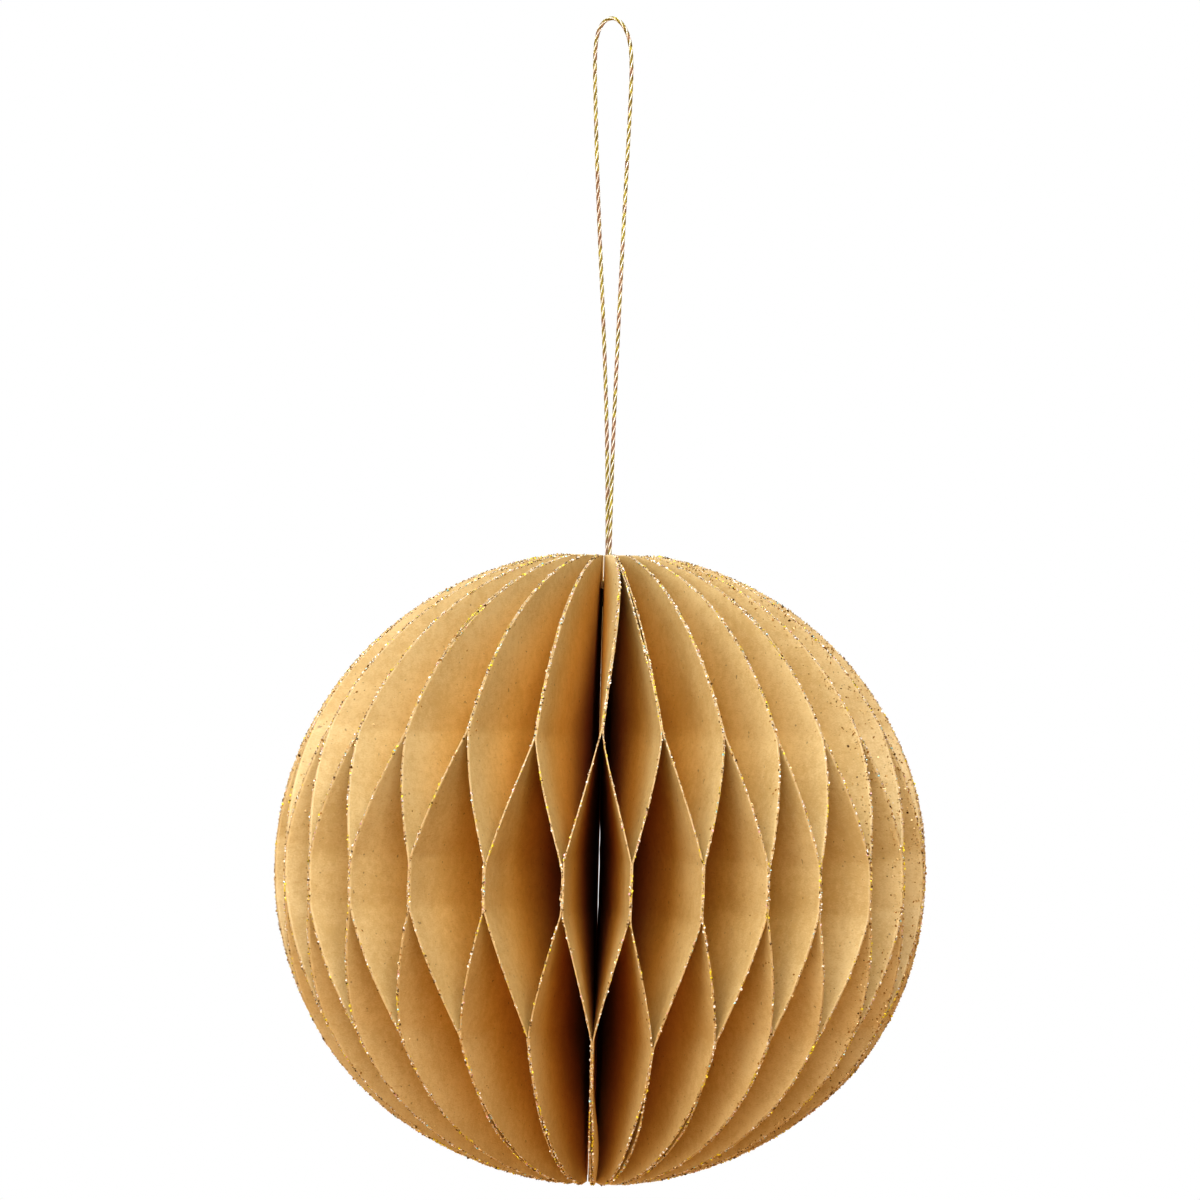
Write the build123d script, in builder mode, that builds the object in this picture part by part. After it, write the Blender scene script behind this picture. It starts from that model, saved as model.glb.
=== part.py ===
from build123d import *
from math import cos, pi, radians, sin, tan
import os

# A honeycomb paper ball ornament on a cord loop.
# Half-round paper leaves stand round an upright hollow core like the pages of an open book.
# Two leaves make a cell. They are glued face to face in an upper and a lower band, and each is
# glued to the next cell's leaf in a middle band, so that the open ball is a honeycomb.
# The cord's two ends go down into the core and through a small card washer, and are knotted
# under it. The washer sits in a notch cut into all the leaves, and is wider than the core.
# Millimetres, +Z up. The origin is the inside top of the cord loop, where a hook would hold it,
# and straight ahead is -Y.

# The ball
ball_diameter = 80.0
ball_height = 77.4
ball_drop = 65.8  # from the inside top of the loop down to the ball's top
ball_axis_x = 1.2  # the ball hangs this far to the right of the loop's top
pole_cut = 0.5  # height that is trimmed level off each pole of the outline
blank_margin = 1.0  # how far a leaf's blank reaches past the outline before it is trimmed

# The fan, as the degrees that each cell takes, from left to right round the front.
# The cells at the back share what is left, as many to each side of the one straight behind.
front_cells = (12.0, 13.0, 14.0, 14.0, 13.0, 11.0, 12.0, 12.0, 11.0, 13.0, 12.0)
first_seam = -72.3  # degrees from straight ahead to the left side of the first cell
rear_cell = 13.0
rear_middle = 178.6  # a little past straight behind, so that the core shows light only where both open
cells_beside_rear = 8

# A leaf
sheet = 0.25  # thickness of the paper
spine_room = 0.01  # what each leaf of the narrowest cell leaves free at the core, at a pole
seam_height = 5.8  # of every glue band
middle_seam = -0.1  # height of the middle band's centre above the ball's centre
upper_seam = 20.4
lower_seam = -20.5
lens_opening = 0.75  # degrees that a leaf leans out of its cell's middle plane at a pole

# The cord
cord_diameter = 0.55
cord_pitch = 0.6  # between the two strands where they run side by side
arc_share = 0.45  # an arc's tangent length, as a share of the shorter run beside it

# The washer, the knot under it and the notch that holds the washer
washer_depth = 3.2  # from the ball's top down to the washer's top
washer_diameter = 7.6
washer_height = 0.9
washer_hole = 1.6
washer_room = 0.2  # between the washer and the leaves, on every side
knot_diameter = 2.6
knot_height = 2.2
knot_rounding = 0.9
tail_length = 3.0  # of each cord end below the knot

# Worked out from the sizes above
ball_radius = ball_diameter / 2
half_height = ball_height / 2
centre_z = -ball_drop - half_height
last_seam = first_seam + sum(front_cells)
right_cell = (rear_middle - rear_cell / 2 - last_seam) / cells_beside_rear
left_cell = (360 + first_seam - rear_middle - rear_cell / 2) / cells_beside_rear
right_back = (right_cell,) * cells_beside_rear
left_back = (left_cell,) * cells_beside_rear
cells = front_cells + right_back + (rear_cell,) + left_back
narrowest_half = min(cells) / 2
core_radius = (sheet + spine_room) / (tan(radians(narrowest_half)) - tan(radians(lens_opening)))
washer_top = -ball_drop - washer_depth
knot_top = washer_top - washer_height
ball_centre = Vector(ball_axis_x, 0, centre_z)
ball_axis = Axis(tuple(ball_centre), (0, 0, 1))
upright = Plane(origin=ball_centre, x_dir=(1, 0, 0), z_dir=(0, -1, 0))


def ahead(turn):
    """The level direction that lies turn degrees to the right of straight ahead."""
    return Vector(sin(radians(turn)), -cos(radians(turn)), 0)


def strip(reach, half_cell, side):
    """Corners of a leaf's section at a distance reach from the axis, as (sideways, height).
    The inner face lies in the cell's middle plane in the cell's own glue bands, leans out of it
    a little towards the poles, and in the middle band stands one sheet inside the plane that
    the cell shares with its neighbour. The outer face follows it one sheet further out."""
    half_seam = seam_height / 2
    lens = reach * tan(radians(lens_opening))
    square = 1 / cos(radians(half_cell))
    shared = reach * tan(radians(half_cell)) - sheet * square
    inner = (
        (lens, -half_height, 1),
        (0, lower_seam - half_seam, 1),
        (0, lower_seam + half_seam, 1),
        (shared, middle_seam - half_seam, square),
        (shared, middle_seam + half_seam, square),
        (0, upper_seam - half_seam, 1),
        (0, upper_seam + half_seam, 1),
        (lens, half_height, 1),
    )
    near = [(side * y, z) for y, z, lean in inner]
    far = [(side * (y + sheet * lean), z) for y, z, lean in inner]
    return near + far[::-1]


os.makedirs("parts", exist_ok=True)

# leaf_01 and leaf_02 are the two leaves of the first cell, and so on round the ball.
leaf_number = 0
seam = first_seam
for cell in cells:
    middle = seam + cell / 2
    for side in (-1, 1):
        leaf_number += 1
        with BuildPart() as leaf:
            for reach in (core_radius, ball_radius + blank_margin):
                section = Plane(
                    origin=ball_centre + ahead(middle) * reach,
                    x_dir=ahead(middle + 90),
                    z_dir=ahead(middle),
                )
                with BuildSketch(section):
                    with BuildLine():
                        Polyline(*strip(reach, cell / 2, side), close=True)
                    make_face()
            loft(ruled=True)
            with BuildSketch(upright):
                with BuildLine():
                    EllipticalCenterArc((0, 0), ball_radius, half_height + pole_cut, -90, arc_size=180)
                    Line((0, half_height + pole_cut), (0, -half_height - pole_cut))
                make_face()
            revolve(axis=ball_axis, mode=Mode.INTERSECT)
            with BuildSketch(Plane.XY.offset(washer_top + washer_room)):
                with Locations((ball_axis_x, 0)):
                    Circle(washer_diameter / 2 + washer_room)
            extrude(amount=-washer_height - 2 * washer_room, mode=Mode.SUBTRACT)
        leaf.part.label = f"leaf_{leaf_number:02d}"
        export_step(leaf.part, f"parts/{leaf.part.label}.step")
    seam += cell

# The route of the cord's centre line, as (to the right, up): from the knot up the left strand,
# round the top of the loop and down the right strand.
left_strand = ball_axis_x - cord_pitch / 2
right_strand = ball_axis_x + cord_pitch / 2
cord_route = [
    (left_strand, knot_top),
    (0.72, -56.5),
    (0.15, -42.0),
    (-1.25, -22.0),
    (-1.85, -10.5),
    (-2.12, -4.4),
    (-1.85, -1.3),
    (-0.75, cord_diameter / 2),
    (0.7, cord_diameter / 2),
    (2.05, -1.7),
    (2.5, -4.9),
    (2.42, -11.0),
    (2.05, -22.5),
    (1.55, -42.0),
    (1.3, -56.5),
    (right_strand, knot_top),
]


def arc_radii(route):
    """The radius of the arc at each inner point of the route: arc_share of the shorter of its
    two runs, divided by the tangent of half the turn."""
    radii = []
    for before, corner, after in zip(route, route[1:], route[2:]):
        arriving = Vector(*corner) - Vector(*before)
        leaving = Vector(*after) - Vector(*corner)
        half_turn = radians(arriving.get_angle(leaving)) / 2
        shorter = min(arriving.length, leaving.length)
        radii.append(arc_share * shorter / tan(half_turn))
    return radii


cord_radii = arc_radii(cord_route)
with BuildPart() as hanging_cord:
    with BuildLine(Plane.XZ) as cord_line:
        FilletPolyline(*cord_route, radius=cord_radii)
    cord_path = cord_line.wire()
    with BuildSketch(Plane(origin=cord_path @ 0, z_dir=cord_path % 0)):
        Circle(cord_diameter / 2)
    sweep(path=cord_path)
hanging_cord.part.label = "hanging_cord"
export_step(hanging_cord.part, "parts/hanging_cord.step")

cord_volume = pi * cord_diameter**2 / 4 * cord_path.length
print("cord arc radii", [round(radius, 2) for radius in cord_radii])
print("cord length", round(cord_path.length, 2))
print("cord volume against section times length", hanging_cord.part.volume / cord_volume)

with BuildPart() as card_washer:
    with BuildSketch(Plane.XY.offset(knot_top)):
        with Locations((ball_axis_x, 0)):
            Circle(washer_diameter / 2)
            Circle(washer_hole / 2, mode=Mode.SUBTRACT)
    extrude(amount=washer_height)
card_washer.part.label = "card_washer"
export_step(card_washer.part, "parts/card_washer.step")

with BuildPart() as cord_knot:
    with BuildSketch(Plane.XY.offset(knot_top)):
        with Locations((ball_axis_x, 0)):
            Circle(knot_diameter / 2)
    extrude(amount=-knot_height)
    fillet(cord_knot.edges().filter_by(GeomType.CIRCLE), knot_rounding)
    with BuildSketch(Plane.XY.offset(knot_top - knot_height / 2)):
        with Locations((left_strand, 0), (right_strand, 0)):
            Circle(cord_diameter / 2)
    extrude(amount=-knot_height / 2 - tail_length)
cord_knot.part.label = "cord_knot"
export_step(cord_knot.part, "parts/cord_knot.step")
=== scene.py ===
from math import cos, pi, radians, sin

import bpy
import numpy as np
from mathutils import Matrix, Vector


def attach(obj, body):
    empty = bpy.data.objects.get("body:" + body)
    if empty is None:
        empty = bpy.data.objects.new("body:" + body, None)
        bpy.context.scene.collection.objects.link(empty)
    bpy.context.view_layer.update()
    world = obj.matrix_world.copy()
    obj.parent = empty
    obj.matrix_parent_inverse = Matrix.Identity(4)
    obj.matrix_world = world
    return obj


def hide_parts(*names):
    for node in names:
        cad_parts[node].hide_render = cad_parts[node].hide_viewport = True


# A honeycomb paper ball: half-round kraft leaves glued in alternating bands and opened round a
# hollow core, with glitter along the leaf edges, on a loop of twisted gold cord.
# Metres, in the frame of the CAD model: the origin is the inside top of the cord loop, +Z is up
# and the front is -Y. Lengths below are given in millimetres and turned into metres once.

MM = 0.001

# ---- sizes that the CAD model also has
BALL_RADIUS = 40.0 * MM
HALF_HEIGHT = 38.7 * MM
POLE_CUT = 0.5 * MM
BALL_TOP = -65.8 * MM
BALL_AXIS_X = 1.2 * MM
FRONT_CELLS = (12.0, 13.0, 14.0, 14.0, 13.0, 11.0, 12.0, 12.0, 11.0, 13.0, 12.0)
FIRST_SEAM = -72.3
REAR_CELL = 13.0
REAR_MIDDLE = 178.6
CELLS_BESIDE_REAR = 8
SHEET = 0.25 * MM
CORE_RADIUS = 3.125 * MM
SEAM_HEIGHT = 5.8 * MM
MIDDLE_SEAM = -0.1 * MM
UPPER_SEAM = 20.4 * MM
LOWER_SEAM = -20.5 * MM
LENS_OPENING = 0.75
KNOT_TOP = -69.9  # in millimetres, as the route's points are

# ---- the paper's thickness at a leaf's outer edge. The CAD keeps SHEET throughout.
EDGE_SHEET = 0.16 * MM

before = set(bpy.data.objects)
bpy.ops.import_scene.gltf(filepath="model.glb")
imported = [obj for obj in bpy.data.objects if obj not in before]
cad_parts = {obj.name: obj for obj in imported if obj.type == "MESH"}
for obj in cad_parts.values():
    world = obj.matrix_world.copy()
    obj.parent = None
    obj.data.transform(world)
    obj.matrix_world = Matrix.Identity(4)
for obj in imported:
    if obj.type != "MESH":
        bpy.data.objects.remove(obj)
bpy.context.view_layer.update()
rng = np.random.default_rng(11)

BALL_CENTRE = np.array((BALL_AXIS_X, 0.0, BALL_TOP - HALF_HEIGHT))
LAST_SEAM = FIRST_SEAM + sum(FRONT_CELLS)
RIGHT_CELL = (REAR_MIDDLE - REAR_CELL / 2 - LAST_SEAM) / CELLS_BESIDE_REAR
LEFT_CELL = (360 + FIRST_SEAM - REAR_MIDDLE - REAR_CELL / 2) / CELLS_BESIDE_REAR
CELLS = (
    FRONT_CELLS + (RIGHT_CELL,) * CELLS_BESIDE_REAR + (REAR_CELL,)
    + (LEFT_CELL,) * CELLS_BESIDE_REAR
)

# ---------------------------------------------------------------- camera
CAMERA_DISTANCE = 550 * MM
VIEW_WIDTH = 147.6 * MM
LOOK_AT = (0.26 * MM, 0.0, -71.3 * MM)
LEAN = radians(1.47)
SENSOR_WIDTH = 36.0

camera_data = bpy.data.cameras.new("camera")
camera_data.sensor_width = SENSOR_WIDTH
camera_data.lens = SENSOR_WIDTH * CAMERA_DISTANCE / VIEW_WIDTH
camera_data.clip_start = 0.01
camera_data.clip_end = 50.0
camera = bpy.data.objects.new("camera", camera_data)
bpy.context.scene.collection.objects.link(camera)
right = Vector((cos(LEAN), 0.0, sin(LEAN)))
up = Vector((-sin(LEAN), 0.0, cos(LEAN)))
back = Vector((0.0, -1.0, 0.0))
turned = Matrix((right, up, back)).transposed()
camera_place = Matrix.Translation(Vector(LOOK_AT) + back * CAMERA_DISTANCE)
camera.matrix_world = camera_place @ turned.to_4x4()
bpy.context.scene.camera = camera


# ---------------------------------------------------------------- meshes
def mesh_object(name, points, faces, material, uv=None, tone=None, flat=None):
    """A mesh object at the origin from an array of points and one of three- or four-sided faces.
    uv holds one pair for each point, tone one number for each face, and flat marks the faces
    that aren't shaded smooth."""
    mesh = bpy.data.meshes.new(name)
    sides = faces.shape[1]
    mesh.vertices.add(len(points))
    mesh.vertices.foreach_set("co", np.asarray(points, np.float32).ravel())
    mesh.loops.add(faces.size)
    mesh.loops.foreach_set("vertex_index", faces.astype(np.int32).ravel())
    mesh.polygons.add(len(faces))
    mesh.polygons.foreach_set("loop_start", np.arange(0, faces.size, sides, dtype=np.int32))
    mesh.polygons.foreach_set("loop_total", np.full(len(faces), sides, dtype=np.int32))
    mesh.update(calc_edges=True)
    if uv is not None:
        layer = mesh.uv_layers.new(name="along")
        layer.data.foreach_set("uv", np.asarray(uv, np.float32)[faces.ravel()].ravel())
    if tone is not None:
        layer = mesh.attributes.new("tone", "FLOAT", "FACE")
        layer.data.foreach_set("value", np.asarray(tone, np.float32))
    smooth = np.full(len(faces), True) if flat is None else ~flat
    mesh.polygons.foreach_set("use_smooth", smooth)
    mesh.materials.append(material)
    mesh.validate()
    piece = bpy.data.objects.new(name, mesh)
    bpy.context.scene.collection.objects.link(piece)
    return piece


def grid_faces(rows, columns, start=0):
    """Four-sided faces of a grid of rows x columns points, numbered row by row from start."""
    corner = np.arange(rows * columns).reshape(rows, columns) + start
    faces = np.stack((corner[:-1, :-1], corner[:-1, 1:], corner[1:, 1:], corner[1:, :-1]), -1)
    return faces.reshape(-1, 4)


def unit(vectors):
    """The vectors, each divided by its own length."""
    return vectors / np.linalg.norm(vectors, axis=-1, keepdims=True)


# ---------------------------------------------------------------- materials
# Tones of the paper. Where there are two, the cloudiness drifts from one to the other. The outer
# tones are paler as painted light. The inner tones, redder, and the deep tone, dark, are painted
# shade. The cut tone is darker as painted shade on the rims, which catch more light.
PAPER_OUTER_LIT = ((0.59, 0.44, 0.205, 1), (0.71, 0.57, 0.31, 1))
PAPER_INNER_SHADE = ((0.685, 0.425, 0.12, 1), (0.80, 0.52, 0.17, 1))
PAPER_DEEP_SHADE = (0.45, 0.13, 0.028, 1)
PAPER_CUT_SHADE = (0.52, 0.38, 0.19, 1)
FIBRE_TONE = (0.42, 0.21, 0.06, 1)
FLECK_TONE = (0.10, 0.045, 0.018, 1)
CARD_TONES = ((0.22, 0.13, 0.055, 1), (0.33, 0.21, 0.10, 1))

# How far in from a leaf's outer edge, in millimetres, each tone starts and is complete, and how
# wide the cut tone's band is. All are bands of painted light and shade.
INNER_SHADE_FROM, INNER_SHADE_FULL = 0.0, 14.0
DEEP_SHADE_FROM, DEEP_SHADE_FULL = 16.0, 35.0
CUT_SHADE_WIDTH = 0.25

# How strongly fibres and flecks show
FIBRE_STRENGTH, FLECK_STRENGTH = 0.22, 0.5

# Tones of the cord's foils: the main one, the brighter and the coppery one that it drifts to.
# The near-white set is painted highlight, on thin plies laid between the gold ones.
GOLD_TONES = ((0.22, 0.17, 0.045, 1), (0.42, 0.36, 0.08, 1), (0.28, 0.17, 0.11, 1))
PALE_HIGHLIGHT_TONES = ((0.90, 0.90, 0.82, 1), (0.98, 0.98, 0.95, 1), (0.92, 0.86, 0.80, 1))


def new_material(name):
    """A material with its node tree and the shader in it."""
    material = bpy.data.materials.new(name)
    material.use_nodes = True
    tree = material.node_tree
    return material, tree, tree.nodes["Principled BSDF"]


def add(tree, kind, sockets=(), links=(), **settings):
    """A new node with its settings, then its unlinked sockets, then its links."""
    node = tree.nodes.new(kind)
    for key, value in settings.items():
        setattr(node, key, value)
    for key, value in dict(sockets).items():
        node.inputs[key].default_value = value
    for key, source in dict(links).items():
        tree.links.new(source, node.inputs[key])
    return node


def band(tree, value, low, high):
    """value, spread so that low becomes 0 and high becomes 1, and clamped."""
    node = add(
        tree, "ShaderNodeMapRange", {"From Min": low, "From Max": high}, {"Value": value},
        clamp=True, interpolation_type="SMOOTHSTEP",
    )
    return node.outputs["Result"]


def mixed(tree, first, second, factor):
    """Two colours mixed by a factor. Each may be a socket or a constant."""
    node = add(tree, "ShaderNodeMix", data_type="RGBA", blend_type="MIX")
    for socket, value in ((node.inputs[0], factor), (node.inputs[6], first), (node.inputs[7], second)):
        if isinstance(value, bpy.types.NodeSocket):
            tree.links.new(value, socket)
        else:
            socket.default_value = value
    return node.outputs[2]


def paper_fibre():
    """A group that turns a place into the marks of pulp paper: a slow cloudiness, short fibres
    that lie level, scattered dark flecks, and a height for the bump. Scales are waves a metre,
    and the fibres and the fine grain are drawn out level by squeezing the place sideways."""
    tree = bpy.data.node_groups.new("paper_fibre", "ShaderNodeTree")
    tree.interface.new_socket("Place", in_out="INPUT", socket_type="NodeSocketVector")
    for name in ("Cloud", "Fibre", "Fleck", "Height"):
        tree.interface.new_socket(name, in_out="OUTPUT", socket_type="NodeSocketFloat")
    place = add(tree, "NodeGroupInput").outputs["Place"]
    level = add(tree, "ShaderNodeMapping", {"Scale": (0.16, 0.16, 1.0)}, {"Vector": place})
    half_level = add(tree, "ShaderNodeMapping", {"Scale": (0.4, 0.4, 1.0)}, {"Vector": place})
    slow = add(tree, "ShaderNodeTexNoise", {"Scale": 110, "Detail": 3}, {"Vector": place})
    patch = add(tree, "ShaderNodeTexNoise", {"Scale": 1100, "Detail": 6, "Roughness": 0.68},
                {"Vector": place})
    hair = add(tree, "ShaderNodeTexNoise", {"Scale": 5200, "Detail": 2, "Distortion": 0.6},
               {"Vector": level.outputs["Vector"]})
    dot = add(tree, "ShaderNodeTexNoise", {"Scale": 1900, "Detail": 1}, {"Vector": place})
    fine = add(tree, "ShaderNodeTexNoise", {"Scale": 9000, "Detail": 2, "Roughness": 0.7},
               {"Vector": half_level.outputs["Vector"]})
    grain = add(tree, "ShaderNodeTexNoise", {"Scale": 4200, "Detail": 3}, {"Vector": place})
    cloud = add(tree, "ShaderNodeMath", {1: 0.35}, {0: slow.outputs["Fac"]},
                operation="MULTIPLY")
    cloud = add(tree, "ShaderNodeMath", {1: 0.35}, {0: patch.outputs["Fac"], 2: cloud.outputs[0]},
                operation="MULTIPLY_ADD")
    cloud = add(tree, "ShaderNodeMath", {1: 0.3}, {0: fine.outputs["Fac"], 2: cloud.outputs[0]},
                operation="MULTIPLY_ADD")
    height = add(tree, "ShaderNodeMath", {1: 0.12}, {0: grain.outputs["Fac"], 2: slow.outputs["Fac"]},
                 operation="MULTIPLY_ADD")
    height = add(tree, "ShaderNodeMath", {1: 0.2}, {0: patch.outputs["Fac"], 2: height.outputs[0]},
                 operation="MULTIPLY_ADD")
    out = add(tree, "NodeGroupOutput")
    tree.links.new(band(tree, cloud.outputs[0], 0.395, 0.605), out.inputs["Cloud"])
    tree.links.new(band(tree, hair.outputs["Fac"], 0.60, 0.74), out.inputs["Fibre"])
    tree.links.new(band(tree, dot.outputs["Fac"], 0.735, 0.775), out.inputs["Fleck"])
    tree.links.new(height.outputs[0], out.inputs["Height"])
    return tree


PAPER_FIBRE = paper_fibre()


def kraft_paper():
    """Brown kraft paper: cloudy, with level fibres and dark flecks, matt with a faint sheen. It is
    paler towards the outer edge as painted light, and redder and darker deep inside as painted
    shade, with a darker band of painted shade at the cut edge. The map's first value is the
    distance from that edge in millimetres."""
    material, tree, shader = new_material("kraft_paper")
    place = add(tree, "ShaderNodeTexCoord").outputs["Object"]
    marks = add(tree, "ShaderNodeGroup", links={"Place": place}, node_tree=PAPER_FIBRE)
    along = add(tree, "ShaderNodeUVMap", uv_map="along").outputs["UV"]
    inward = add(tree, "ShaderNodeSeparateXYZ", links={"Vector": along}).outputs["X"]
    outer = mixed(tree, *PAPER_OUTER_LIT, marks.outputs["Cloud"])
    inner = mixed(tree, *PAPER_INNER_SHADE, marks.outputs["Cloud"])
    # painted light and shade: paler towards the outer edge, redder inward and dark deep inside
    ground = mixed(tree, outer, inner, band(tree, inward, INNER_SHADE_FROM, INNER_SHADE_FULL))
    ground = mixed(tree, ground, PAPER_DEEP_SHADE, band(tree, inward, DEEP_SHADE_FROM, DEEP_SHADE_FULL))
    # painted shade: a darker band at the cut edge, where the rims catch more light
    cut_shade_mask = add(tree, "ShaderNodeMath", {0: 1.0}, {1: band(tree, inward, 0.0, CUT_SHADE_WIDTH)},
              operation="SUBTRACT")
    ground = mixed(tree, ground, PAPER_CUT_SHADE, cut_shade_mask.outputs[0])
    fibre = add(tree, "ShaderNodeMath", {1: FIBRE_STRENGTH}, {0: marks.outputs["Fibre"]},
                operation="MULTIPLY")
    ground = mixed(tree, ground, FIBRE_TONE, fibre.outputs[0])
    fleck = add(tree, "ShaderNodeMath", {1: FLECK_STRENGTH}, {0: marks.outputs["Fleck"]},
                operation="MULTIPLY")
    ground = mixed(tree, ground, FLECK_TONE, fleck.outputs[0])
    tree.links.new(ground, shader.inputs["Base Color"])
    bump = add(tree, "ShaderNodeBump", {"Strength": 0.35, "Distance": 0.0006},
               {"Height": marks.outputs["Height"]})
    tree.links.new(bump.outputs["Normal"], shader.inputs["Normal"])
    shader.inputs["Roughness"].default_value = 0.58
    shader.inputs["Specular IOR Level"].default_value = 0.9
    return material


def grey_card():
    """Pressed card for the hidden washer."""
    material, tree, shader = new_material("card")
    place = add(tree, "ShaderNodeTexCoord").outputs["Object"]
    marks = add(tree, "ShaderNodeGroup", links={"Place": place}, node_tree=PAPER_FIBRE)
    ground = mixed(tree, *CARD_TONES, marks.outputs["Cloud"])
    tree.links.new(ground, shader.inputs["Base Color"])
    bump = add(tree, "ShaderNodeBump", {"Strength": 0.4, "Distance": 0.0003},
               {"Height": marks.outputs["Height"]})
    tree.links.new(bump.outputs["Normal"], shader.inputs["Normal"])
    shader.inputs["Roughness"].default_value = 0.85
    return material


def foil(name, dull, bright, copper, roughness):
    """Foil thread, part metal: a main colour that drifts to a brighter and to a coppery one. The
    near-white foil is painted highlight.
    """
    material, tree, shader = new_material(name)
    place = add(tree, "ShaderNodeTexCoord").outputs["Object"]
    drift = add(tree, "ShaderNodeTexNoise", {"Scale": 900, "Detail": 2}, {"Vector": place})
    warm = add(tree, "ShaderNodeTexNoise", {"Scale": 420, "Detail": 1}, {"Vector": place})
    ground = mixed(tree, dull, bright, band(tree, drift.outputs["Fac"], 0.38, 0.62))
    ground = mixed(tree, ground, copper, band(tree, warm.outputs["Fac"], 0.5, 0.62))
    tree.links.new(ground, shader.inputs["Base Color"])
    along = add(tree, "ShaderNodeUVMap", uv_map="along").outputs["UV"]
    wrap = add(tree, "ShaderNodeTexWave", {"Scale": 2.4, "Distortion": 2.0, "Detail": 1.0},
               {"Vector": along}, bands_direction="DIAGONAL")
    bump = add(tree, "ShaderNodeBump", {"Strength": 0.5, "Distance": 0.00004},
               {"Height": wrap.outputs["Fac"]})
    tree.links.new(bump.outputs["Normal"], shader.inputs["Normal"])
    shader.inputs["Metallic"].default_value = 0.55
    shader.inputs["Roughness"].default_value = roughness
    return material


# Tones of the glitter flakes, from the first share of the range 0 to 1 on
GLITTER_TONES = (
    (0.00, (0.97, 0.96, 0.94, 1)),
    (0.30, (0.80, 0.62, 0.34, 1)),
    (0.50, (0.42, 0.24, 0.08, 1)),
    (0.68, (0.12, 0.07, 0.03, 1)),
    (0.88, (0.95, 0.83, 0.08, 1)),
    (0.95, (0.90, 0.55, 0.62, 1)),
    (0.975, (0.45, 0.80, 0.85, 1)),
)


def glitter():
    """Cut foil flakes. Each face's tone picks its colour from a stepped ramp."""
    material, tree, shader = new_material("edge_glitter")
    tone = add(tree, "ShaderNodeAttribute", attribute_name="tone", attribute_type="GEOMETRY")
    ramp = add(tree, "ShaderNodeValToRGB", links={"Fac": tone.outputs["Fac"]})
    ramp.color_ramp.interpolation = "CONSTANT"
    steps = ramp.color_ramp.elements
    for index, (start, colour) in enumerate(GLITTER_TONES):
        step = steps[index] if index < 2 else steps.new(start)
        step.position = start
        step.color = colour
    tree.links.new(ramp.outputs["Color"], shader.inputs["Base Color"])
    shader.inputs["Metallic"].default_value = 0.35
    shader.inputs["Roughness"].default_value = 0.25
    return material


PAPER = kraft_paper()
CARD = grey_card()
GOLD_FOIL = foil("gold_foil", *GOLD_TONES, 0.35)
# painted highlight: near-white foil for the thin plies between the gold ones
PALE_HIGHLIGHT_FOIL = foil("painted_highlight_foil", *PALE_HIGHLIGHT_TONES, 0.3)
GLITTER = glitter()

# ---------------------------------------------------------------- the cord
# The route's points (to the right, ahead or behind, up), in millimetres: from the knot up the
# left strand, which hangs behind the right one near the ball, round the loop and down again.
CORD_ROUTE = np.array((
    (1.10, 0.30, KNOT_TOP), (0.86, 0.30, -56.5), (0.15, 0.10, -42.0), (-1.25, 0.0, -22.0),
    (-1.85, 0.0, -10.5), (-2.12, 0.0, -4.4), (-1.85, 0.0, -1.3), (-0.75, 0.0, 0.275),
    (0.70, 0.0, 0.275), (2.05, 0.0, -1.7), (2.50, 0.0, -4.9), (2.42, 0.0, -11.0),
    (2.05, 0.0, -22.5), (1.55, -0.10, -42.0), (1.28, -0.30, -56.5), (1.30, -0.30, KNOT_TOP),
)) * MM
PLIES = 3  # of each foil
PLY_PITCH = 4.1 * MM  # along the cord, for one whole turn
PLY_STEP = 0.11 * MM  # between a ply's rings

# A ply's distance from the cord's line, then half its thickness and half its width
GOLD_PLY = (0.105 * MM, 0.13 * MM, 0.19 * MM)
# painted highlight: the thin near-white plies that sit between the gold plies
PALE_HIGHLIGHT_PLY = (0.175 * MM, 0.08 * MM, 0.09 * MM)


def spline_points(route):
    """Points along the route's smooth curve, a NURBS spline with the route as its controls."""
    data = bpy.data.curves.new("cord_route", "CURVE")
    data.dimensions = "3D"
    spline = data.splines.new("NURBS")
    spline.points.add(len(route) - 1)
    spline.points.foreach_set("co", np.column_stack((route, np.ones(len(route)))).ravel())
    spline.order_u = 3
    spline.use_endpoint_u = True
    spline.resolution_u = 48
    guide = bpy.data.objects.new("cord_route", data)
    mesh = bpy.data.meshes.new_from_object(guide)
    points = np.empty(len(mesh.vertices) * 3)
    mesh.vertices.foreach_get("co", points)
    bpy.data.objects.remove(guide)
    bpy.data.curves.remove(data)
    bpy.data.meshes.remove(mesh)
    return points.reshape(-1, 3)


def evenly(points, step):
    """The same line as points that lie about a step apart, and how far along each one is."""
    run = np.append(0.0, np.cumsum(np.linalg.norm(np.diff(points, axis=0), axis=1)))
    along = np.linspace(0.0, run[-1], int(run[-1] / step))
    return np.stack([np.interp(along, run, points[:, k]) for k in range(3)], -1), along


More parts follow.
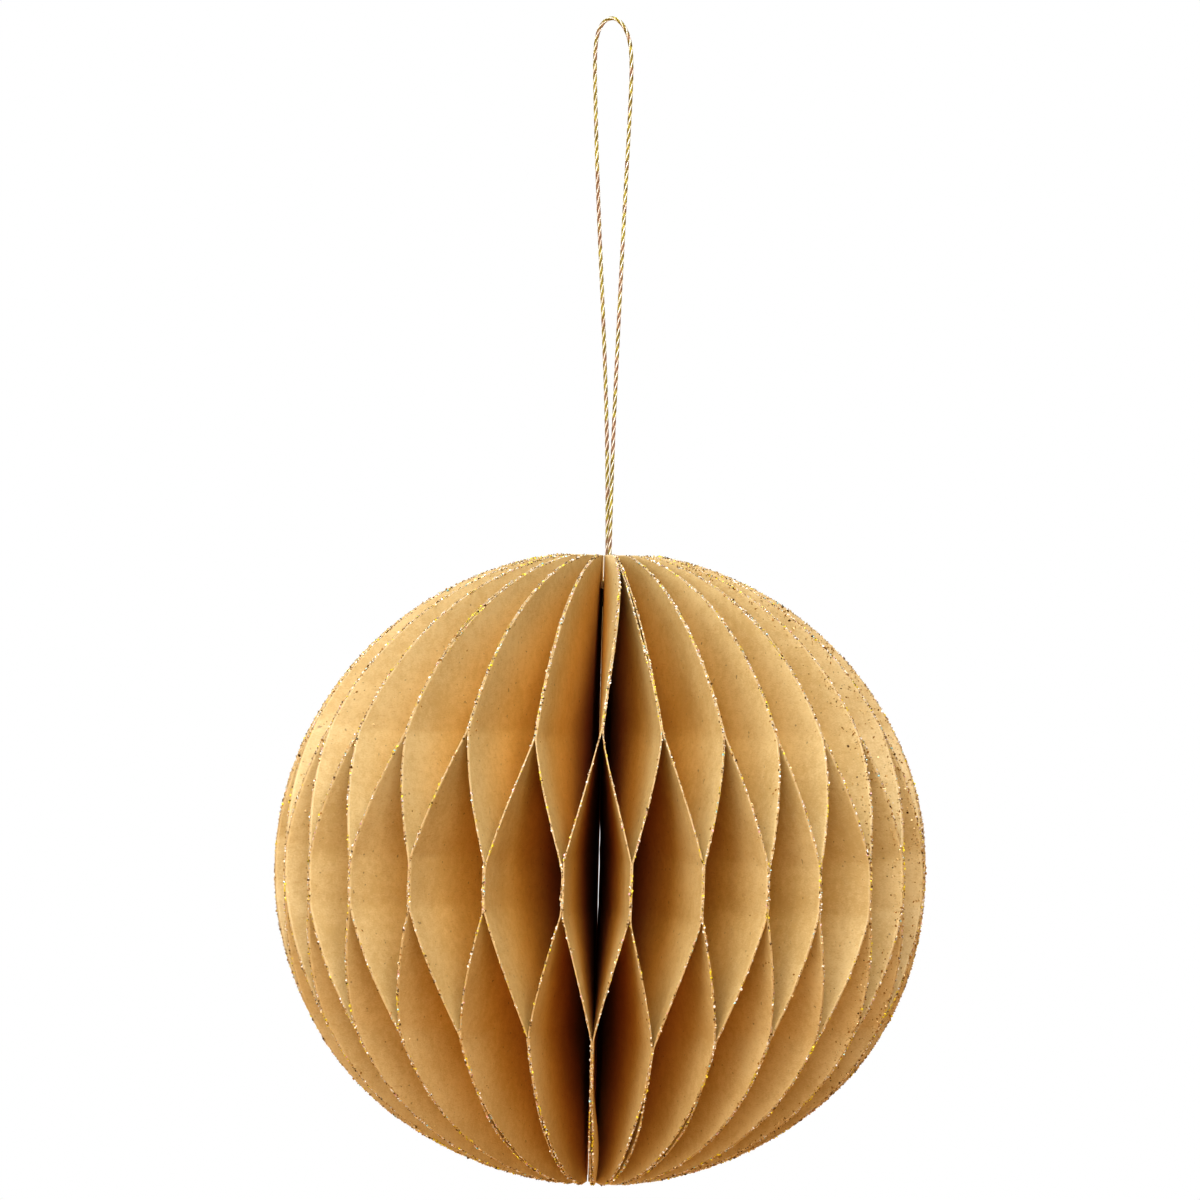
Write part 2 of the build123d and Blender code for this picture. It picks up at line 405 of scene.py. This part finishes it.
def ply(line, along, phase, offset, thick, wide, sides=8):
    """One ply: a tube whose middle circles the cord's line once in each pitch, at an offset.
    Its section is an oval, thick across the cord and wide round it. Its ends are closed."""
    tangent = unit(np.gradient(line, axis=0))
    ahead = unit(np.array((0.0, 1.0, 0.0)) - tangent * tangent[:, 1:2])
    beside = np.cross(tangent, ahead)
    turn = (2 * pi * along / PLY_PITCH + phase)[:, None]
    outward = np.cos(turn) * ahead + np.sin(turn) * beside
    middle = line + outward * offset
    heading = unit(np.gradient(middle, axis=0))
    outward = unit(outward - heading * np.sum(outward * heading, axis=1, keepdims=True))
    around = np.cross(heading, outward)
    angle = np.linspace(0, 2 * pi, sides, endpoint=False)
    ring = (outward[:, None] * (thick * np.cos(angle))[None, :, None]
            + around[:, None] * (wide * np.sin(angle))[None, :, None])
    points = (middle[:, None] + ring).reshape(-1, 3)
    corner = np.arange(len(points)).reshape(-1, sides)
    beyond = np.roll(corner, -1, axis=1)
    wall = np.stack((corner[:-1], beyond[:-1], beyond[1:], corner[1:]), -1).reshape(-1, 4)
    cap = np.array(((0, 3, 2, 1), (0, 7, 4, 3), (4, 7, 6, 5)))
    faces = np.concatenate((wall, cap, cap[:, ::-1] + corner[-1, 0]))
    uv = np.stack((np.repeat(along / MM, sides), np.tile(angle / (2 * pi), len(line))), -1)
    return points, faces, uv


def strands(line, along, count, phase, offset, thick, wide):
    """A set of like plies, evenly spaced round the cord, as one mesh's points, faces and uv."""
    parts = [
        ply(line, along, phase + 2 * pi * k / count, offset, thick, wide) for k in range(count)
    ]
    size = len(parts[0][0])
    points = np.concatenate([part[0] for part in parts])
    faces = np.concatenate([part[1] + k * size for k, part in enumerate(parts)])
    return points, faces, np.concatenate([part[2] for part in parts])


cord_line, cord_along = evenly(spline_points(CORD_ROUTE), PLY_STEP)
points, faces, uv = strands(cord_line, cord_along, PLIES, 0.0, *GOLD_PLY)
gold_plies = mesh_object("cord_gold_plies", points, faces, GOLD_FOIL, uv)
# painted highlight: thin near-white plies between the gold plies, where the cord's glints fall
points, faces, uv = strands(cord_line, cord_along, PLIES, pi / 3, *PALE_HIGHLIGHT_PLY)
painted_highlight_plies = mesh_object("cord_painted_highlight_plies", points, faces, PALE_HIGHLIGHT_FOIL, uv)
for piece in (gold_plies, painted_highlight_plies):
    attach(piece, "root")
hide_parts("hanging_cord")
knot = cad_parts["cord_knot"]
knot.data.materials.clear()
knot.data.materials.append(GOLD_FOIL)
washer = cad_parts["card_washer"]
washer.data.materials.clear()
washer.data.materials.append(CARD)

# ---------------------------------------------------------------- leaves
# Rows of points from a pole to a glue band, in a band and between two bands, and columns from
# the core to the outer edge. The last column stands close to the edge.
ROWS_POLE, ROWS_BAND, ROWS_FREE, COLUMNS = 18, 5, 16, 15
LAST_COLUMN = 0.99
COLUMN_POWER = 0.8
ROW_CROWDING = 0.65
SKIN = 0.48  # each face's distance from the leaf's middle surface, as a share of the sheet
CREASE_ROUNDING = 0.05  # share of a smooth step in the bend out of a glued seam
SEAM_WOBBLE = 0.25 * MM  # how unevenly the bands' borders lie from cell to cell

# How much of the lens at the upper and the lower pole each cell opens to
LENS_SHARES = (0.05, 0.1, 0.15, 0.3, 0.6)
FRONT_LENSES = {
    5: (0.05, 0.3), 6: (0.02, 0.35), 7: (0.6, 0.9), 8: (0.05, 0.75), 9: (0.1, 0.1), 10: (0.5, 0.5),
}

# How far the leaves straight ahead lean over near the top, as (turn, lean), both in degrees
TOP_LEAN = np.array(((-14.0, 0.0), (-1.0, 6.6), (11.0, -4.6), (23.0, -2.4), (36.0, 0.0)))

# How far the front pair bulges to the right half-way along its leaves, low down, in degrees
LOW_BULGE = np.array(((-12.0, 0.0), (-1.0, 3.2), (11.0, 0.0)))

# Where the rear cell's pair stands askew, and how far at its inner ends and at its outer edge,
# all in degrees
REAR_LEAN_TURNS = (150.0, REAR_MIDDLE, 207.0)
REAR_LEAN_IN, REAR_LEAN_OUT = -0.8, 2.2

FOOT_LIFT = 0.8 * MM  # how far the lower pole is pushed up
FOOT_HEIGHT = 18 * MM  # over which the lift grows from nothing, down from the lower band's middle

# The inner ends: a drift to one side, and a parting in the middle of the front cell
FRONT_CELL_MIDDLE = -0.8
SPINE_DRIFT = -0.26 * MM
SPINE_PARTING = 0.115 * MM
PARTING_MIDDLE, PARTING_HALF_HEIGHT = -0.2 * MM, 7.2 * MM
PARTING_TURN = 4.0  # degrees beside the cell's middle by which the parting is full
PARTING_REACH = 60.0  # degrees to each side within which it is felt


def smooth_step(t):
    """3 t squared less 2 t cubed, between 0 and 1."""
    t = np.clip(t, 0.0, 1.0)
    return t * t * (3 - 2 * t)


def leaf_heights():
    """Heights of a leaf's rows, from the ball's centre. Each stretch between two creases is
    split in the angle whose sine is the height, so that rows crowd at the poles, by a share
    that is even but for ROW_CROWDING of a smooth step, so that they crowd at the creases too."""
    half = SEAM_HEIGHT / 2
    creases = np.array((
        -HALF_HEIGHT, LOWER_SEAM - half, LOWER_SEAM + half, MIDDLE_SEAM - half,
        MIDDLE_SEAM + half, UPPER_SEAM - half, UPPER_SEAM + half, HALF_HEIGHT,
    ))
    counts = (ROWS_POLE, ROWS_BAND, ROWS_FREE, ROWS_BAND, ROWS_FREE, ROWS_BAND, ROWS_POLE)
    angles = np.arcsin(creases / (HALF_HEIGHT + POLE_CUT))
    parts = []
    for low, high, count in zip(angles, angles[1:], counts):
        t = np.linspace(0.0, 1.0, count, endpoint=False)
        parts.append(low + (high - low) * ((1 - ROW_CROWDING) * t + ROW_CROWDING * smooth_step(t)))
    return (HALF_HEIGHT + POLE_CUT) * np.sin(np.append(np.concatenate(parts), angles[-1]))


HEIGHTS = leaf_heights()
OUTLINE = BALL_RADIUS * np.sqrt(1 - (HEIGHTS / (HALF_HEIGHT + POLE_CUT)) ** 2)


def opening(height, shift):
    """How far a leaf has gone from its cell's middle plane to the next cell's, from 0 in the
    upper and lower glue bands to 1 in the middle band. Between the bands it rises in a line that
    is blended with a smooth step, as paper bends out of a glued seam."""
    half = SEAM_HEIGHT / 2
    upper = (UPPER_SEAM - half + shift[0] - height) / (UPPER_SEAM - MIDDLE_SEAM - 2 * half)
    lower = (height - (LOWER_SEAM + half + shift[1])) / (MIDDLE_SEAM - LOWER_SEAM - 2 * half)
    t = np.clip(np.minimum(upper, lower), 0.0, 1.0)
    return (1 - CREASE_ROUNDING) * t + CREASE_ROUNDING * smooth_step(t)


def pole_lens(height, lens):
    """From 0 at a cell's own outer glue bands to its share of the lens, upper and lower, half-way
    to the pole and on."""
    half = SEAM_HEIGHT / 2
    above = (height - UPPER_SEAM - half) / (HALF_HEIGHT - UPPER_SEAM - half)
    below = (LOWER_SEAM - half - height) / (HALF_HEIGHT + LOWER_SEAM - half)
    return smooth_step(2 * above) * lens[0] + smooth_step(2 * below) * lens[1]


def fan_wander(turn, reach, height):
    """A slow sway of the whole fan, in degrees, that grows with the distance from the axis: two
    sine waves round it that wind with the height, and fade towards the poles. To it come a lean
    of the front pairs towards each other near the top, and a bulge of the front pair low down,
    as a parabola from the core to the outer edge. The rear pair stands askew, so that it shades
    the core. All are the same for every leaf that passes through a place, so that no leaf cuts
    its neighbour."""
    share = (reach - CORE_RADIUS) / (BALL_RADIUS - CORE_RADIUS)
    z = height / HALF_HEIGHT
    t = np.radians(turn)
    sway = 0.3 * np.sin(3 * t + 2.1 * z) + 0.2 * np.sin(5 * t - 3.2 * z + 1.0)
    ahead = (turn + 180) % 360 - 180
    lean = np.interp(ahead, TOP_LEAN[:, 0], TOP_LEAN[:, 1])
    outline = BALL_RADIUS * np.sqrt(1 - (height / (HALF_HEIGHT + POLE_CUT)) ** 2)
    near_edge = (reach - CORE_RADIUS) / (outline - CORE_RADIUS)
    top = np.clip((z - 0.4) / 0.6, 0, 1) ** 1.5
    behind = np.interp(turn, REAR_LEAN_TURNS, (0.0, 1.0, 0.0))
    rear = behind * (REAR_LEAN_IN + (REAR_LEAN_OUT - REAR_LEAN_IN) * near_edge)
    bulge = np.interp(ahead, LOW_BULGE[:, 0], LOW_BULGE[:, 1])
    low = smooth_step((-z - 0.62) / 0.3) * 4 * near_edge * (1 - near_edge)
    return sway * share * (1 - z * z) + lean * top * near_edge + bulge * low + rear


def spine_shift(turn, across, height):
    """How far the inner ends stand to the right of where an even fan would have them: a small
    drift to the left, and in the middle of the front cell a narrow parting, pushed to each side
    of it by a wave over the height. Both fade out along the leaf to nothing at its outer edge."""
    wave = 0.6 + 0.4 * np.sin(height / MM * 2.9) * np.sin(height / MM * 1.3 + 0.7)
    window = np.clip(1 - (np.abs(height - PARTING_MIDDLE) / PARTING_HALF_HEIGHT) ** 4, 0, 1)
    beside = np.clip((turn - FRONT_CELL_MIDDLE) / PARTING_TURN, -1, 1) * (np.abs(turn) < PARTING_REACH)
    return (SPINE_DRIFT + SPINE_PARTING * window * wave * beside) * (1 - across)


def leaf_shell(middle, half_cell, side, shift, lens):
    """A closed leaf: two grids, about half a sheet to each side of a middle surface, and a rim.
    The middle surface runs over the distance from the axis and the height. Its place round the
    axis is the cell's middle plane plus the opening times the half cell, with the pole lens and
    the sway of the fan, and it stands half a sheet inside whichever plane it is glued in. The
    sheet thins evenly from the core to the outer edge.
    The last two values are the middle surface and its normals, as rows of points."""
    across = np.append(LAST_COLUMN * np.linspace(0.0, 1.0, COLUMNS - 1) ** COLUMN_POWER, 1.0)
    sheet = SHEET + (EDGE_SHEET - SHEET) * across
    height = np.repeat(HEIGHTS[:, None], COLUMNS, 1)
    reach = CORE_RADIUS + (OUTLINE[:, None] - CORE_RADIUS) * across[None, :]
    share = opening(height, shift)
    turn = middle + side * (half_cell * share + LENS_OPENING * pole_lens(height, lens))
    turn = turn + fan_wander(turn, reach, height)
    angle = np.radians(turn)
    radial = np.stack((np.sin(angle), -np.cos(angle), np.zeros_like(angle)), -1)
    sideways = np.stack((np.cos(angle), np.sin(angle), np.zeros_like(angle)), -1)
    stand = side * sheet / 2 * (1 - 2 * share)
    centre = BALL_CENTRE + radial * reach[..., None] + sideways * stand[..., None]
    centre[..., 0] += spine_shift(turn, np.broadcast_to(across, height.shape), height)
    centre[..., 2] += height + FOOT_LIFT * smooth_step((LOWER_SEAM - height) / FOOT_HEIGHT)
    normal = unit(np.cross(np.gradient(centre, axis=1), np.gradient(centre, axis=0)))
    rows = len(HEIGHTS)
    half = normal * (SKIN * sheet)[None, :, None]
    front = (centre + half).reshape(-1, 3)
    back = (centre - half).reshape(-1, 3)
    points = np.concatenate((front, back))
    one = grid_faces(rows, COLUMNS)
    two = grid_faces(rows, COLUMNS, rows * COLUMNS)[:, ::-1]
    corner = np.arange(rows * COLUMNS).reshape(rows, COLUMNS)
    rim = np.concatenate((
        corner[0, :-1], corner[:-1, -1], corner[-1, :0:-1], corner[:0:-1, 0],
    ))
    ahead_of = np.roll(rim, -1)
    edge = np.stack((rim, rim + rows * COLUMNS, ahead_of + rows * COLUMNS, ahead_of), -1)
    faces = np.concatenate((one, two, edge))
    inward = (OUTLINE[:, None] - reach) / MM
    uv = np.tile(np.stack((inward, height / MM), -1).reshape(-1, 2), (2, 1))
    flat = np.arange(len(faces)) >= len(one) + len(two)
    return points, faces, flat, uv, centre, normal


def fan():
    """Middle azimuth and half angle of each cell, from left to right."""
    seam = FIRST_SEAM
    for cell in CELLS:
        yield seam + cell / 2, cell / 2
        seam += cell


# ---------------------------------------------------------------- glitter
FLAKE_CORNERS = np.array((
    (1.0, 0.0, 0.0), (0.0, 1.0, 0.0), (-1.0, 0.0, 0.0), (0.0, -1.0, 0.0),
    (0.0, 0.0, 0.4), (0.0, 0.0, -0.4),
))
FLAKE_FACES = np.array((
    (0, 1, 4), (1, 2, 4), (2, 3, 4), (3, 0, 4), (1, 0, 5), (2, 1, 5), (3, 2, 5), (0, 3, 5),
))
EDGE_FLAKES = 900  # about this many along each leaf's edge
FACE_FLAKES = 900  # on the faces of each leaf where the glue was spread wide
SPARE_FLAKES = 30  # on the faces of each other leaf
WIDE_GLUE = (52, 120)  # degrees to the right of straight ahead between which it was spread wide

# The middle and the spread of the logarithm of a flake's half size in millimetres, and its limits
EDGE_FLAKE_LOG, FACE_FLAKE_LOG = (-2.32, 0.36), (-2.2, 0.4)
EDGE_FLAKE_LIMITS, FACE_FLAKE_LIMITS = (0.05, 0.2), (0.06, 0.22)
YELLOW_TONE = 0.9

# How far in from the edge flakes stray onto a face: on average, and at most
STRAY_DEPTH, STRAY_LIMIT = 0.75 * MM, 3.5 * MM


def flakes(places, sizes):
    """Closed eight-sided flakes at the places, each turned at random: a thin double pyramid on a
    square, scaled by its size and multiplied by a matrix made orthogonal from random numbers."""
    turns, _ = np.linalg.qr(rng.normal(size=(len(places), 3, 3)))
    turns *= np.sign(np.linalg.det(turns))[:, None, None]
    corners = np.einsum("nij,kj->nki", turns, FLAKE_CORNERS) * sizes[:, None, None]
    points = (places[:, None] + corners).reshape(-1, 3)
    faces = FLAKE_FACES[None] + len(FLAKE_CORNERS) * np.arange(len(places))[:, None, None]
    return points, faces.reshape(-1, 3)


def edge_flakes(centre, normal, count):
    """Places, sizes and tones of flakes along a leaf's outer edge. They gather where a random
    wave along the edge is high, and stand within about half a sheet of the rim. Where a slower
    wave is high, most are yellow."""
    edge, side = centre[:, -1], normal[:, -1]
    run = np.append(0.0, np.cumsum(np.linalg.norm(np.diff(edge, axis=0), axis=1)))
    along = np.sort(rng.uniform(0.0, run[-1], 2 * count))
    waves = rng.uniform(0, 2 * pi, 3)
    crowd = sum(np.sin(along / MM * k + wave) for k, wave in zip((0.21, 0.57, 1.33), waves)) / 3
    along = along[rng.uniform(-1.0, 1.2, len(along)) < crowd + 0.1]
    place = np.stack([np.interp(along, run, edge[:, k]) for k in range(3)], -1)
    across = np.stack([np.interp(along, run, side[:, k]) for k in range(3)], -1)
    outward = unit(place - BALL_CENTRE)
    place = place + across * rng.uniform(-0.6, 0.6, (len(along), 1)) * EDGE_SHEET
    place = place + outward * rng.uniform(-0.5, 0.4, (len(along), 1)) * EDGE_SHEET
    size = np.clip(rng.lognormal(*EDGE_FLAKE_LOG, len(along)), *EDGE_FLAKE_LIMITS) * MM
    tone = rng.uniform(0.0, 0.999, len(along))
    yellow = np.sin(along / MM * 0.17 + waves[0] * 2) * np.sin(along / MM * 0.43 + waves[1])
    tone = np.where((yellow > 0.72) & (tone < 0.6), YELLOW_TONE, tone)
    return place, size, tone


def face_flakes(centre, normal, count):
    """Places, sizes and tones of flakes that strayed onto a leaf's two faces near its edge.
    They thin out exponentially away from the edge, and those that would stray too far stop at
    the limit."""
    row = rng.integers(4, len(centre) - 5, count)
    inward = np.minimum(rng.exponential(STRAY_DEPTH, count), STRAY_LIMIT)
    step = centre[row + 1, -1] - centre[row, -1]
    edge = centre[row, -1] + step * rng.uniform(0, 1, (count, 1))
    towards = unit(centre[row, -4] - centre[row, -1])
    face = rng.choice((-0.55, 0.55), (count, 1)) * EDGE_SHEET
    place = edge + towards * inward[:, None] + normal[row, -1] * face
    size = np.clip(rng.lognormal(*FACE_FLAKE_LOG, count), *FACE_FLAKE_LIMITS) * MM
    tone = 0.30 + 0.42 * rng.uniform(0.0, 1.0, count)
    return place, size, tone


# ---------------------------------------------------------------- the ball
leaf_number = 0
for number, (middle, half_cell) in enumerate(fan(), 1):
    shift = rng.normal(0.0, SEAM_WOBBLE, 2)
    lens = FRONT_LENSES.get(number, rng.choice(LENS_SHARES, 2))
    scattered = []
    for side in (-1, 1):
        leaf_number += 1
        node = f"leaf_{leaf_number:02d}"
        points, faces, flat, uv, centre, normal = leaf_shell(middle, half_cell, side, shift, lens)
        leaf = mesh_object(f"paper_{node}", points, faces, PAPER, uv, flat=flat)
        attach(leaf, "root")
        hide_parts(node)
        scattered.append(edge_flakes(centre, normal, EDGE_FLAKES))
        stray = FACE_FLAKES if WIDE_GLUE[0] < middle < WIDE_GLUE[1] else SPARE_FLAKES
        scattered.append(face_flakes(centre, normal, stray))
    places, sizes, tones = (np.concatenate(part) for part in zip(*scattered))
    points, faces = flakes(places, sizes)
    glitter_piece = mesh_object(
        f"edge_glitter_{number:02d}", points, faces, GLITTER, tone=np.repeat(tones, len(FLAKE_FACES)),
        flat=np.full(len(faces), True),
    )
    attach(glitter_piece, "root")

# ---------------------------------------------------------------- studio
FLOOR_Z, FLOOR_HALF = -0.45, 12.0
# What the camera does not meet is warm: the floor as it lights the ball, and the fill
FLOOR_BOUNCE = (0.66, 0.42, 0.22, 1)
FILL, FILL_TONE = 0.06, (1.0, 0.72, 0.45, 1)
WHITE = (1, 1, 1, 1)


def seen_white(tree, plain, seen, surface):
    """The plain shader for every ray but the camera's, which meets the one that is seen."""
    ray = add(tree, "ShaderNodeLightPath")
    mix = add(tree, "ShaderNodeMixShader", links={
        0: ray.outputs["Is Camera Ray"], 1: plain.outputs[0], 2: seen.outputs[0],
    })
    tree.links.new(mix.outputs[0], surface)


def white_floor():
    """A wide level square, white to the camera."""
    mesh = bpy.data.meshes.new("floor")
    mesh.from_pydata(
        [(-FLOOR_HALF, -FLOOR_HALF, FLOOR_Z), (FLOOR_HALF, -FLOOR_HALF, FLOOR_Z),
         (FLOOR_HALF, FLOOR_HALF, FLOOR_Z), (-FLOOR_HALF, FLOOR_HALF, FLOOR_Z)],
        [], [(0, 1, 2, 3)],
    )
    material, tree, shader = new_material("white_floor")
    shader.inputs["Base Color"].default_value = FLOOR_BOUNCE
    shader.inputs["Roughness"].default_value = 0.9
    seen = add(tree, "ShaderNodeEmission", {"Color": WHITE, "Strength": 1.0})
    seen_white(tree, shader, seen, tree.nodes["Material Output"].inputs["Surface"])
    mesh.materials.append(material)
    floor = bpy.data.objects.new("floor", mesh)
    bpy.context.scene.collection.objects.link(floor)
    return floor


def studio_world():
    """A faint warm fill from all round, white to the camera."""
    world = bpy.data.worlds.new("studio")
    bpy.context.scene.world = world
    world.use_nodes = True
    sky = world.node_tree
    fill = sky.nodes["Background"]
    fill.inputs["Color"].default_value = FILL_TONE
    fill.inputs["Strength"].default_value = FILL
    seen = add(sky, "ShaderNodeBackground", {"Color": WHITE, "Strength": 1.0})
    seen_white(sky, fill, seen, sky.nodes["World Output"].inputs["Surface"])


white_floor()
studio_world()

LIGHT_DISTANCE, LIGHT_SIZE = 1.2, 0.9
NEUTRAL, CREAM, IVORY, WARM = (1.0, 1.0, 1.0), (1.0, 0.94, 0.84), (1.0, 0.97, 0.90), (1.0, 0.80, 0.58)

# Name, degrees to the right of straight ahead, degrees above level, watts and tint of each light
LIGHTS = (
    ("key", 0, 44, 16.5, NEUTRAL),
    ("left", -40, 12, 8.6, IVORY),
    ("front", 8, 8, 2.8, CREAM),
    ("far_left", -75, 10, 1.8, WARM),
    ("far_right", 75, 10, 3.6, WARM),
    ("rear", 180, 50, 10.0, NEUTRAL),
    ("rear_left", -140, 15, 4.0, WARM),
    ("rear_right", 130, 15, 3.6, WARM),
)


def soft_light(name, turn, rise, power, tint):
    """A square area light that faces the ball's centre from turn degrees to the right of
    straight ahead and rise degrees above level."""
    data = bpy.data.lights.new(name, "AREA")
    data.size = LIGHT_SIZE
    data.energy = power
    data.color = tint
    light = bpy.data.objects.new(name, data)
    turn, rise = radians(turn), radians(rise)
    away = Vector((sin(turn) * cos(rise), -cos(turn) * cos(rise), sin(rise)))
    light.location = Vector(BALL_CENTRE) + away * LIGHT_DISTANCE
    light.rotation_mode = "QUATERNION"
    light.rotation_quaternion = (-away).to_track_quat("-Z", "Y")
    bpy.context.scene.collection.objects.link(light)


for light_facts in LIGHTS:
    soft_light(*light_facts)

# The view's tone curve, as (light in the scene, light shown): shades fall off a little faster
# than the light does.
TONE_CURVE = (
    (0.028, 0.014), (0.062, 0.044), (0.117, 0.098), (0.22, 0.203), (0.36, 0.346), (0.65, 0.641),
)
VIEW_GAMMA = 0.85

studio_view = bpy.context.scene.view_settings
studio_view.view_transform = "Standard"
studio_view.gamma = VIEW_GAMMA
studio_view.use_curve_mapping = True
all_channels = studio_view.curve_mapping.curves[3]
for scene_light, shown_light in TONE_CURVE:
    all_channels.points.new(scene_light, shown_light)
studio_view.curve_mapping.update()
